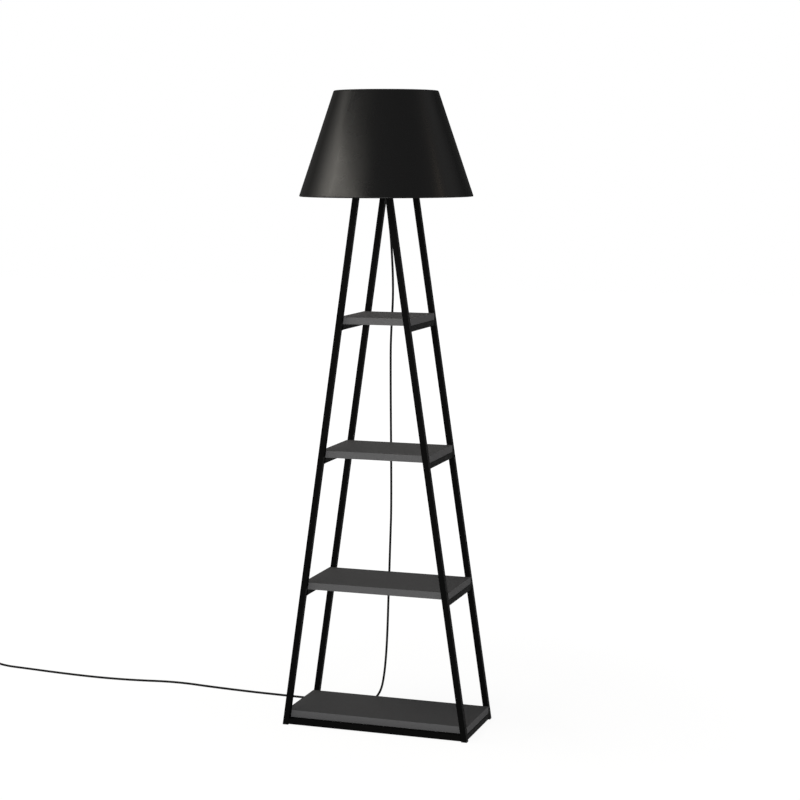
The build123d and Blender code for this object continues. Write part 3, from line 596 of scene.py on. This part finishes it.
@dataclass
class Shade:
    """The cone: satin cloth turned in over wire rings, a film lining and a wire carrier.

    Attributes:
        cloth: thickness of the cloth.
        hem: how far up the inside the cloth is turned in.
        rim_middle: middle of the rim's oval, up the slant and inwards.
        rim_reach: how far the oval reaches from it, up the slant and inwards.
        rim_squareness: power that squares the oval; 1 would leave it round.
        edge_fold: how far up the slant the face starts to be straight.
        under_hem: how far inside the outer face the turned-in cloth lies.
        hem_ease: the length over which it eases over to there.
        wave: height of the slow waves in the cloth.
        wave_count: number of waves that are laid over each other.
        lobes: the fewest crests a wave has round the cone, and one more than the most.
        lap: width of the lap at the back.
        lap_step: how far on each side of a lap's edge a column stands.
        columns: columns round the cone, without those at the lap.
        face_rows: rows up the straight face.
        rim_rows: rows round each rim.
        seed: start of the random draws.
    """

    cloth: float = 0.45 * MM
    hem: float = 14 * MM
    rim_middle: tuple[float, float] = (3.0 * MM, 2.9 * MM)
    rim_reach: tuple[float, float] = (3.8 * MM, 2.95 * MM)
    rim_squareness: float = 0.75
    edge_fold: float = 3.6 * MM
    under_hem: float = 2.0 * MM
    hem_ease: float = 8 * MM
    wave: float = 0.12 * MM
    wave_count: int = 6
    lobes: tuple[int, int] = (5, 17)
    lap: float = 14 * MM
    lap_step: float = 0.3 * MM
    columns: int = 256
    face_rows: int = 40
    rim_rows: int = 18
    seed: int = 7

    def cone(self) -> tuple[np.ndarray, np.ndarray, float]:
        """The outer face's lower and upper edge as (radius, height), and its slant length.

        The cone's slope is that from one wire ring to the other.
        """
        low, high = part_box("shade_cover")
        bottom, top = (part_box(f"shade_{end}_ring") for end in ("bottom", "top"))
        slope = (bottom[1].x - top[1].x) / (top[1].z - bottom[1].z)
        foot = np.array([(high.x - low.x) / 2, low.z])
        head = np.array([foot[0] - slope * (high.z - low.z), high.z])
        return foot, head, float(np.linalg.norm(head - foot))

    def section(self) -> tuple[np.ndarray, np.ndarray]:
        """The cloth's line from inside the bottom hem round to inside the top hem.

        Each rim is half a squared oval round the wire, the sine and cosine of an oval
        raised to the squareness; from its inner end the cloth eases over to the lining
        and runs on to the hem's edge. All of it leans by the cone's slope, because the
        shade's ends are cut level.

        Returns:
            Distances up the slant, and distances inwards from the outer face.
        """
        foot, head, slant = self.cone()
        lean = (foot[0] - head[0]) / (head[1] - foot[1])
        up, inward = self.rim_middle
        tall, wide = self.rim_reach
        turn = np.linspace(math.pi, 0, self.rim_rows)
        inner = np.linspace(self.hem, up, self.rim_rows)[:-1]
        ease = smoothed((inner - up) / self.hem_ease)
        inside = (inward + wide) * (1 - ease) + self.under_hem * ease
        squared = self.rim_squareness
        rim_up = up - tall * np.abs(np.sin(turn)) ** squared
        rim_in = inward - wide * np.sign(np.cos(turn)) * np.abs(np.cos(turn)) ** squared
        bottom_up = np.concatenate([inner, rim_up])
        bottom_in = np.concatenate([inside, rim_in])
        face = np.linspace(self.edge_fold, slant - self.edge_fold, self.face_rows)
        ends = [sign * bottom_up + lean * bottom_in for sign in (1, -1)]
        along = np.concatenate([ends[0], face, slant + ends[1][::-1]])
        depth = np.concatenate([bottom_in, np.full(len(face), inward - wide), bottom_in[::-1]])
        return along, depth

    def angles(self, radius: float) -> np.ndarray:
        """Angles round the cone, with a close pair at each edge of the lap at the back."""
        even = np.linspace(0, FULL_TURN, self.columns, endpoint=False)
        edge = self.lap / 2 / radius
        close = self.lap_step / radius
        extra = [math.pi / 2 + side * edge + step for side in (-1, 1) for step in (-close, close)]
        return np.sort(np.concatenate([even, extra]))

    def cover(self) -> None:
        """The cloth: the section turned about the axis, with slow waves and the lap."""
        foot, head, slant = self.cone()
        along, depth = self.section()
        rise = (head - foot) / slant
        outwards = np.array([rise[1], -rise[0]])
        line = foot + along[:, None] * rise - depth[:, None] * outwards
        angle = self.angles(foot[0])
        chance = np.random.default_rng(self.seed)
        lobes = chance.integers(*self.lobes, self.wave_count)[:, None, None]
        starts = chance.uniform(0, FULL_TURN, (2, self.wave_count))[:, :, None, None]
        spin = np.sin(lobes * angle + starts[0])
        lift = np.sin(along[:, None] / slant * lobes / 2 + starts[1])
        waves = self.wave * (spin * lift).sum(axis=0) / 2
        on_lap = np.abs((angle - math.pi / 2) * foot[0]) < self.lap / 2
        off_foot = smoothed((along - self.hem) / self.hem)
        off_head = smoothed((slant - self.hem - along) / self.hem)
        proud = waves * (off_foot * off_head)[:, None] + self.cloth * on_lap[None, :]
        radius = line[:, :1] + proud * outwards[0]
        height = line[:, 1:] + proud * outwards[1]
        points = np.stack([radius * np.cos(angle), radius * np.sin(angle), height], axis=2)
        steps = np.linalg.norm(np.diff(line, axis=0), axis=1)
        length = np.concatenate([[0.0], np.cumsum(steps)])
        round_once = np.append(angle, FULL_TURN + angle[0]) * (foot[0] + head[0]) / 2
        uv = np.stack(np.meshgrid(round_once, length), axis=2)
        made = piece("satin_cover", [Grid(points, uv=uv)])
        wall = made.modifiers.new("cloth", "SOLIDIFY")
        wall.thickness = self.cloth
        wall.offset = -1
        settle(made, SATIN, "shade", "shade_fabric", "shade_cover")

    def build(self) -> None:
        """The cover, and the finishes of what is inside it."""
        self.cover()
        dress(STYRENE, "shade_lining")
        dress(COATED_WIRE, "shade_top_ring", "shade_bottom_ring", "shade_arms", "shade_fitter")


@dataclass
class Light:
    """Lampholder, ring nut and bulb."""

    def build(self) -> None:
        """Dresses every piece of the light."""
        dress(PHENOLIC, "lampholder_cap", "lampholder_skirt", "shade_ring_nut")
        dress(ZINC, "threaded_nipple", "lock_nut")
        dress(MOULDED_ABS, "cord_grip")
        dress(STEATITE, "lampholder_insulator")
        dress(BRASS, "lampholder_contact", "lampholder_screw_shell")
        dress(NICKEL, "bulb_cap", "bulb_contact")
        dress(VITRITE, "bulb_insulator")
        dress(BULB_HOUSING, "bulb_body")
        dress(OPAL, "bulb_globe")


@dataclass
class FootSwitch:
    """The switch in the cord, with the spring under its button.

    Attributes:
        spring_r: radius of the spring, to the middle of its wire.
        wire_r: radius of the wire.
        wire_sides: points round the wire.
        turns: turns of the spring.
        rings: rings along the wire.
        travel: how far the button goes down; not used.
    """

    spring_r: float = 6 * MM
    wire_r: float = 0.4 * MM
    wire_sides: int = 8
    turns: float = 4.0
    rings: int = 160
    travel: float = 3 * MM

    def spring(self) -> None:
        """The spring: a helix whose rise is eased flat at both ends, as closed coils are."""
        low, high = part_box("switch_spring")
        base_low, base_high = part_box("switch_base")
        middle = np.array([(base_low.x + base_high.x) / 2, (base_low.y + base_high.y) / 2])
        share = np.linspace(0, 1, self.rings)
        angle = FULL_TURN * self.turns * share
        rise = high.z - low.z - 2 * self.wire_r
        height = low.z + self.wire_r + rise * (share + smoothed(share)) / 2
        level = middle + self.spring_r * np.stack([np.cos(angle), np.sin(angle)], axis=1)
        path = np.column_stack([level, height])
        thick = np.full(self.rings, self.wire_r)
        made = piece("return_spring", [tube(path, thick, (0.0, 0.0, 1.0), self.wire_sides)])
        settle(made, ZINC, "frame", "zinc_steel", "switch_spring")
        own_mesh(made)

    def build(self) -> None:
        """Dresses the shells and the button and winds the spring."""
        dress(MOULDED_ABS, "switch_base", "switch_cover", "switch_contact_block")
        dress(POLISHED_ABS, "switch_button")
        dress(ZINC, "switch_screws")
        dress(SOFT_PVC, "switch_sleeves")
        self.spring()


@dataclass
class Cord:
    """The mains cord: from the lamp to the switch, and on through a coil to the plug.

    The route's points were placed along the cord's line as it was measured in the
    photograph, through the photograph's camera: down behind the shelves and over the
    floor. How far behind the shelves it hangs, and all that lies outside the picture, is
    a guess.

    Attributes:
        diameter: the cord's diameter.
        lamp_length: length from the lamp's grip to the switch; not used.
        plug_length: length from the switch to the plug; not used.
        coil_middle: the coil's middle on the floor.
        coil_r: radius of its outer turn, to the middle of the cord.
        coil_step: how far apart its turns and its two layers lie.
        half_turns: number of its half turns.
        points_a_quarter: control points in each quarter turn.
        order: order of the spline.
        steps: points along the cord from one control point to the next.
        roundness: how finely the cord is rounded.
    """

    diameter: float = 6 * MM
    lamp_length: float = 2.65
    plug_length: float = 0.81
    coil_middle: tuple[float, float] = (-1.490, 0.1175)
    coil_r: float = 37.5 * MM
    coil_step: float = 6.7 * MM
    half_turns: int = 7
    points_a_quarter: int = 4
    order: int = 3
    steps: int = 10
    roundness: int = 5

    def hanging(self) -> list[Point]:
        """Out of the grip, back behind the shelves and down to the floor."""
        return [
            (0, 0, 1.411),
            (0, 0, 1.388),
            (-0.001, 0.008, 1.360),
            (-0.0035, 0.028, 1.322),
            (-0.0085, 0.056, 1.277),
            (-0.0145, 0.082, 1.224),
            (-0.018, 0.099, 1.166),
            (-0.020, 0.105, 1.104),
            (-0.0245, 0.104, 1.030),
            (-0.0275, 0.104, 0.950),
            (-0.0252, 0.1045, 0.560),
            (-0.029, 0.1045, 0.460),
            (-0.032, 0.1055, 0.382),
            (-0.0355, 0.107, 0.302),
            (-0.039, 0.1095, 0.222),
            (-0.0435, 0.1115, 0.150),
            (-0.0505, 0.114, 0.088),
            (-0.061, 0.117, 0.042),
            (-0.085, 0.119, 0.012),
            (-0.120, 0.120, 0.003),
        ]

    def on_the_floor(self) -> list[Point]:
        """To the left over the floor in slow bends, and up into the switch's sleeve."""
        return [
            (-0.190, 0.121, 0.003),
            (-0.268, 0.1205, 0.003),
            (-0.345, 0.123, 0.003),
            (-0.425, 0.125, 0.003),
            (-0.505, 0.130, 0.003),
            (-0.585, 0.137, 0.003),
            (-0.655, 0.146, 0.003),
            (-0.720, 0.144, 0.003),
            (-0.780, 0.133, 0.003),
            (-0.848, 0.125, 0.003),
            (-0.925, 0.1225, 0.003),
            (-1.005, 0.126, 0.003),
            (-1.085, 0.1325, 0.003),
            (-1.165, 0.141, 0.003),
            (-1.235, 0.147, 0.003),
            (-1.276, 0.155, 0.009),
            (-1.300, 0.155, 0.009),
        ]

    def to_the_coil(self) -> list[Point]:
        """From the switch's other sleeve down to the coil."""
        return [
            (-1.424, 0.155, 0.009),
            (-1.442, 0.155, 0.009),
            (-1.466, 0.155, 0.003),
            (-1.484, 0.155, 0.003),
        ]

    def coil(self) -> list[Point]:
        """The coil's turns.

        The radius shrinks by a step a turn to the middle and grows again; the height
        eases up by a step in the half turn about the middle. Each point stands out by
        the share that the spline cuts inside it.
        """
        quarters = 2 * self.half_turns
        middle = quarters / 2
        count = np.linspace(0, quarters, quarters * self.points_a_quarter + 1)
        angle = math.pi / 2 * (1 + count)
        bend = math.pi / 2 / self.points_a_quarter
        stand_out = 4 / (3 + math.cos(bend))
        radius = self.coil_r - self.coil_step / 4 * (middle - np.abs(count - middle))
        climb = np.clip((count - middle + 1) / 2, 0, 1)
        height = self.diameter / 2 + self.coil_step * (1 - np.cos(math.pi * climb)) / 2
        x = self.coil_middle[0] + stand_out * radius * np.cos(angle)
        y = self.coil_middle[1] + stand_out * radius * np.sin(angle)
        return [tuple(point) for point in np.stack([x, y, height], axis=1)]

    def to_the_plug(self) -> list[Point]:
        """From the coil to the plug's sleeve."""
        return [
            (-1.484, 0.080, 0.0097),
            (-1.470, 0.080, 0.0097),
            (-1.454, 0.080, 0.00685),
            (-1.440, 0.080, 0.00685),
        ]

    def strand(self, name: str, route: list[Point]) -> bpy.types.Object:
        """A free stretch of cord: one smooth spline with the route as its control points.

        Args:
            name: the piece's name.
            route: the control points, from the end nearer the lamp.

        Returns:
            The curve, round and closed at its ends.
        """
        curve = bpy.data.curves.new(name, "CURVE")
        curve.dimensions = "3D"
        spline = curve.splines.new("NURBS")
        spline.points.add(len(route) - 1)
        spline.points.foreach_set("co", np.array([(*point, 1.0) for point in route]).ravel())
        spline.order_u = self.order
        spline.use_endpoint_u = True
        curve.resolution_u = self.steps
        curve.bevel_depth = self.diameter / 2
        curve.bevel_resolution = self.roundness
        curve.use_fill_caps = True
        made = bpy.data.objects.new(name, curve)
        bpy.context.scene.collection.objects.link(made)
        return made

    def build(self) -> None:
        """Both stretches of the cord and the finishes of what is on them."""
        dress(SOFT_PVC, "cord_in_grip")
        dress(BROWN_CORE, "cord_cores")
        dress(MOULDED_ABS, "plug_body")
        dress(NICKEL, "plug_pins")
        lamp_cord = self.strand("lamp_cord", self.hanging() + self.on_the_floor())
        settle(lamp_cord, SOFT_PVC, "frame", "cord_sheath", "cord_run")
        route = self.to_the_coil() + self.coil() + self.to_the_plug()
        plug_cord = self.strand("plug_cord", route)
        settle(plug_cord, SOFT_PVC, "frame", "cord_sheath", "cord_link", "cord_coil", "cord_tail")


# Studio ----------------------------------------------------------------------------------


@dataclass(frozen=True)
class Softbox:
    """A large soft lamp.

    Attributes:
        name: its name.
        place: where it stands.
        aim: what it points at.
        size: width and height.
        watts: its power.
        tint: its sRGB colour.
        roll: how far it is turned about its own beam, in degrees.
    """

    name: str
    place: Point
    aim: Point
    size: tuple[float, float]
    watts: float
    tint: str = "ffffff"
    roll: float = 0.0

    def build(self) -> None:
        """Adds the lamp to the scene."""
        lamp = bpy.data.lights.new(self.name, "AREA")
        lamp.shape = "RECTANGLE"
        lamp.size, lamp.size_y = self.size
        lamp.energy = self.watts
        lamp.color = linear(self.tint)[:3]
        made = bpy.data.objects.new(self.name, lamp)
        made.location = self.place
        beam = (Vector(self.aim) - Vector(self.place)).to_track_quat("-Z", "Y")
        made.rotation_euler = (beam @ Quaternion((0, 0, 1), math.radians(self.roll))).to_euler()
        bpy.context.scene.collection.objects.link(made)


@dataclass(frozen=True)
class PhotoCamera:
    """The photograph's camera, fitted to the lamp's edges.

    Attributes:
        place: where it stands.
        heading: how far it is turned to the left of straight ahead, in radians.
        tilt: how far it looks down, in radians.
        focal: focal length in pixels of the image.
        centre: the pixel that lies straight ahead.
        image: the image's width and height in pixels.
        sensor: sensor width in millimetres.
    """

    place: Point = (1.6287, -4.5076, 1.48675)
    heading: float = 0.3131
    tilt: float = 0.0678
    focal: float = 1855.05
    centre: tuple[float, float] = (448.89, 280.54)
    image: float = 800.0
    sensor: float = 36.0

    def build(self) -> None:
        """Makes the camera and makes it the scene's own."""
        lens = bpy.data.cameras.new("photo_camera")
        lens.sensor_width = self.sensor
        lens.lens = self.focal * self.sensor / self.image
        lens.shift_x = 0.5 - self.centre[0] / self.image
        lens.shift_y = self.centre[1] / self.image - 0.5
        made = bpy.data.objects.new("photo_camera", lens)
        made.location = self.place
        made.rotation_euler = (math.pi / 2 - self.tilt, 0, self.heading)
        bpy.context.scene.collection.objects.link(made)
        bpy.context.scene.camera = made


@dataclass
class Studio:
    """A white sweep of floor and backdrop with soft lamps, and the camera.

    Attributes:
        floor_side: the floor's width and depth.
        ambient: strength of the soft light from all round.
        floor_colour: sRGB colour of the floor where it is shaded.
        shadow_share: how much of the lamp's shadow shows beside it.
        glow: strength of the floor's white.
        shadow_reach: how far from the lamp's axis the shadow has faded.
        shelf_cover: share of the bottom shelf's width and depth under which all of the
            shadow shows.
        lamps: the soft lamps.
    """

    floor_side: float = 30.0
    ambient: float = 0.25
    floor_colour: str = "e9e9e9"
    shadow_share: float = 0.14
    glow: float = 1.06
    shadow_reach: float = 2.6
    shelf_cover: float = 0.97
    lamps: tuple[Softbox, ...] = (
        Softbox("key", (-0.96, -0.64, 1.93), (0, 0, 1.5), (2.47, 0.2), 28.0, "fffaf0", roll=6.4),
        Softbox("front", (0.9, -4.2, 1.2), (0, 0, 0.7), (1.6, 1.2), 140.0),
        Softbox("right", (2.6, 0.06, 2.24), (0, 0, 1.5), (0.2, 1.4), 4.2, "ffe6cc", roll=-50),
    )

    def seen_or_mirrored(self, tree: bpy.types.NodeTree) -> bpy.types.NodeSocket:
        """1 for rays from the camera, off a glossy surface or through glass, else 0."""
        rays = add(tree, "ShaderNodeLightPath").outputs
        two = add(
            tree,
            "ShaderNodeMath",
            {0: rays["Is Camera Ray"], 1: rays["Is Glossy Ray"]},
            operation="MAXIMUM",
        )
        return add(
            tree,
            "ShaderNodeMath",
            {0: two.outputs[0], 1: rays["Is Transmission Ray"]},
            operation="MAXIMUM",
        ).outputs[0]

    def world(self) -> None:
        """White where it is seen, and a level of soft light on the lamp."""
        world = bpy.data.worlds.new("studio")
        world.use_nodes = True
        tree = world.node_tree
        tree.nodes.clear()
        plain = linear("ffffff")
        white = add(tree, "ShaderNodeBackground", {"Color": plain, "Strength": 1.0})
        soft = add(tree, "ShaderNodeBackground", {"Color": plain, "Strength": self.ambient})
        chosen = add(
            tree,
            "ShaderNodeMixShader",
            {0: self.seen_or_mirrored(tree), 1: soft.outputs[0], 2: white.outputs[0]},
        )
        add(tree, "ShaderNodeOutputWorld", {"Surface": chosen.outputs[0]})
        bpy.context.scene.world = world

    def share_of_shadow(self, tree: bpy.types.NodeTree) -> bpy.types.NodeSocket:
        """How much of the shadow the floor shows.

        All of it under the bottom shelf, a light share round the lamp, and none far away,
        where the floor melts into the backdrop.
        """
        place = add(tree, "ShaderNodeTexCoord").outputs["Object"]
        away = add(tree, "ShaderNodeVectorMath", {0: place}, operation="LENGTH")
        fading = add(
            tree,
            "ShaderNodeMapRange",
            {
                "Value": away.outputs["Value"],
                "From Max": self.shadow_reach,
                "To Min": self.shadow_share,
                "To Max": 0.0,
            },
            interpolation_type="SMOOTHSTEP",
        )
        low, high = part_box("shelf_board_1")
        scaled = add(
            tree,
            "ShaderNodeVectorMath",
            {0: place, 1: (1 / high.x, 1 / high.y, 0.0)},
            operation="MULTIPLY",
        )
        size = add(tree, "ShaderNodeVectorMath", {0: scaled.outputs[0]}, operation="ABSOLUTE")
        sides = add(tree, "ShaderNodeSeparateXYZ", {0: size.outputs[0]})
        outside = add(
            tree,
            "ShaderNodeMath",
            {0: sides.outputs["X"], 1: sides.outputs["Y"]},
            operation="MAXIMUM",
        )
        return add(
            tree,
            "ShaderNodeMapRange",
            {
                "Value": outside.outputs[0],
                "From Min": self.shelf_cover,
                "From Max": 1.0,
                "To Min": 1.0,
                "To Max": fading.outputs["Result"],
            },
        ).outputs["Result"]

    def floor(self) -> None:
        """A white floor that melts into the backdrop and keeps a light shadow."""
        half = self.floor_side / 2
        steps = np.linspace(-half, half, 3)
        x, y = np.meshgrid(steps, steps)
        made = piece("floor", [Grid(np.stack([x, y, np.zeros_like(x)], axis=2), round=False)])
        material = bpy.data.materials.new("white_floor")
        material.use_nodes = True
        tree = material.node_tree
        tree.nodes.clear()
        matt = add(tree, "ShaderNodeBsdfDiffuse", {"Color": linear(self.floor_colour)})
        glow = add(tree, "ShaderNodeEmission", {"Color": linear("ffffff"), "Strength": self.glow})
        share = self.share_of_shadow(tree)
        seen = add(tree, "ShaderNodeMixShader", {0: share, 1: glow.outputs[0], 2: matt.outputs[0]})
        chosen = add(
            tree,
            "ShaderNodeMixShader",
            {0: self.seen_or_mirrored(tree), 1: matt.outputs[0], 2: seen.outputs[0]},
        )
        add(tree, "ShaderNodeOutputMaterial", {"Surface": chosen.outputs[0]})
        made.data.materials.append(material)

    def build(self) -> None:
        """World, floor, lamps and camera."""
        self.world()
        self.floor()
        for lamp in self.lamps:
            lamp.build()
        PhotoCamera().build()
        bpy.context.scene.view_settings.view_transform = "Standard"


def main() -> None:
    """Builds the studio and the lamp, sub-assembly by sub-assembly."""
    Studio().build()
    Cord().build()
    TubeFrame().build()
    Shelves().build()
    Shade().build()
    Light().build()
    FootSwitch().build()


if __name__ == "__main__":
    logging.basicConfig(level=logging.INFO, format="%(name)s: %(message)s")
    main()
